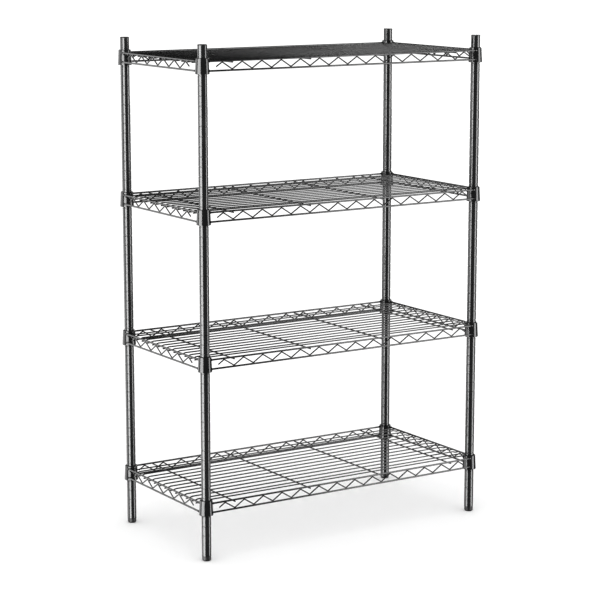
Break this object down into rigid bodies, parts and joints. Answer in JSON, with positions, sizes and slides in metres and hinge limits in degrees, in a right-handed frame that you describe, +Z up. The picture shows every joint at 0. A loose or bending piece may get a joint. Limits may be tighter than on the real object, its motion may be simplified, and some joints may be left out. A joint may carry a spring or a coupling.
{
  "type": "wire shelving rack",
  "caption": "Free-standing rack of welded wire shelves with zigzag trusses, clipped to round grooved posts by split tapered sleeves, on levelling feet.",
  "frame": {"origin": "floor level, midway between the levelling feet", "axes": "+Z up along the posts; +X to the right along the long side; +Y from the front long side to the back"},
  "size_m": [0.9204, 0.4636, 1.378],
  "materials": {
    "post_coating": "gloss black powder coat",
    "shelf_coating": "gloss black powder coat",
    "wire_coating": "gloss black powder coat",
    "sleeve_plastic": "satin black",
    "cap_plastic": "semi-gloss black",
    "foot_plastic": "satin black",
    "insert_steel": "satin black",
    "zinc_steel": "zinc plated"
  },
  "bodies": {
    "posts": {"post_front_left": "post_coating", "post_front_right": "post_coating", "post_back_left": "post_coating", "post_back_right": "post_coating", "post_cap_front_left": "cap_plastic", "post_cap_front_right": "cap_plastic", "post_cap_back_left": "cap_plastic", "post_cap_back_right": "cap_plastic", "foot_insert_front_left": "insert_steel", "foot_insert_front_right": "insert_steel", "foot_insert_back_left": "insert_steel", "foot_insert_back_right": "insert_steel"},
    "bottom_shelf_sleeves": {"bottom_shelf_sleeve_right_halves": "sleeve_plastic", "bottom_shelf_sleeve_left_halves": "sleeve_plastic"},
    "bottom_shelf": {"bottom_shelf_collars": "shelf_coating", "bottom_shelf_long_rails": "shelf_coating", "bottom_shelf_side_rails": "shelf_coating", "bottom_shelf_long_zigzags": "wire_coating", "bottom_shelf_side_zigzags": "wire_coating", "bottom_shelf_deck_wires": "wire_coating", "bottom_shelf_cross_supports": "shelf_coating"},
    "lower_shelf_sleeves": {"lower_shelf_sleeve_right_halves": "sleeve_plastic", "lower_shelf_sleeve_left_halves": "sleeve_plastic"},
    "lower_shelf": {"lower_shelf_collars": "shelf_coating", "lower_shelf_long_rails": "shelf_coating", "lower_shelf_side_rails": "shelf_coating", "lower_shelf_long_zigzags": "wire_coating", "lower_shelf_side_zigzags": "wire_coating", "lower_shelf_deck_wires": "wire_coating", "lower_shelf_cross_supports": "shelf_coating"},
    "upper_shelf_sleeves": {"upper_shelf_sleeve_right_halves": "sleeve_plastic", "upper_shelf_sleeve_left_halves": "sleeve_plastic"},
    "upper_shelf": {"upper_shelf_collars": "shelf_coating", "upper_shelf_long_rails": "shelf_coating", "upper_shelf_side_rails": "shelf_coating", "upper_shelf_long_zigzags": "wire_coating", "upper_shelf_side_zigzags": "wire_coating", "upper_shelf_deck_wires": "wire_coating", "upper_shelf_cross_supports": "shelf_coating"},
    "top_shelf_sleeves": {"top_shelf_sleeve_right_halves": "sleeve_plastic", "top_shelf_sleeve_left_halves": "sleeve_plastic"},
    "top_shelf": {"top_shelf_collars": "shelf_coating", "top_shelf_long_rails": "shelf_coating", "top_shelf_side_rails": "shelf_coating", "top_shelf_long_zigzags": "wire_coating", "top_shelf_side_zigzags": "wire_coating", "top_shelf_deck_wires": "wire_coating", "top_shelf_cross_supports": "shelf_coating"},
    "foot_front_left": {"foot_pad_front_left": "foot_plastic", "foot_stud_front_left": "zinc_steel"},
    "foot_front_right": {"foot_pad_front_right": "foot_plastic", "foot_stud_front_right": "zinc_steel"},
    "foot_back_left": {"foot_pad_back_left": "foot_plastic", "foot_stud_back_left": "zinc_steel"},
    "foot_back_right": {"foot_pad_back_right": "foot_plastic", "foot_stud_back_right": "zinc_steel"}
  },
  "joints": [
    {"name": "bottom_shelf_height", "type": "slide", "parent": "posts", "child": "bottom_shelf_sleeves", "axis": [0, 0, 1], "range_m": [-0.07836, 0.07836]},
    {"name": "bottom_shelf_lift", "type": "slide", "parent": "bottom_shelf_sleeves", "child": "bottom_shelf", "axis": [0, 0, 1], "range_m": [0, 0.036]},
    {"name": "lower_shelf_height", "type": "slide", "parent": "posts", "child": "lower_shelf_sleeves", "axis": [0, 0, 1], "range_m": [-0.15672, 0.15672]},
    {"name": "lower_shelf_lift", "type": "slide", "parent": "lower_shelf_sleeves", "child": "lower_shelf", "axis": [0, 0, 1], "range_m": [0, 0.036]},
    {"name": "upper_shelf_height", "type": "slide", "parent": "posts", "child": "upper_shelf_sleeves", "axis": [0, 0, 1], "range_m": [-0.15672, 0.15672]},
    {"name": "upper_shelf_lift", "type": "slide", "parent": "upper_shelf_sleeves", "child": "upper_shelf", "axis": [0, 0, 1], "range_m": [0, 0.036]},
    {"name": "top_shelf_height", "type": "slide", "parent": "posts", "child": "top_shelf_sleeves", "axis": [0, 0, 1], "range_m": [-0.15672, 0]},
    {"name": "top_shelf_lift", "type": "slide", "parent": "top_shelf_sleeves", "child": "top_shelf", "axis": [0, 0, 1], "range_m": [0, 0.036]},
    {"name": "foot_front_left_level", "type": "slide", "parent": "posts", "child": "foot_front_left", "axis": [0, 0, -1], "range_m": [0, 0.02]},
    {"name": "foot_front_right_level", "type": "slide", "parent": "posts", "child": "foot_front_right", "axis": [0, 0, -1], "range_m": [0, 0.02]},
    {"name": "foot_back_left_level", "type": "slide", "parent": "posts", "child": "foot_back_left", "axis": [0, 0, -1], "range_m": [0, 0.02]},
    {"name": "foot_back_right_level", "type": "slide", "parent": "posts", "child": "foot_back_right", "axis": [0, 0, -1], "range_m": [0, 0.02]}
  ]
}
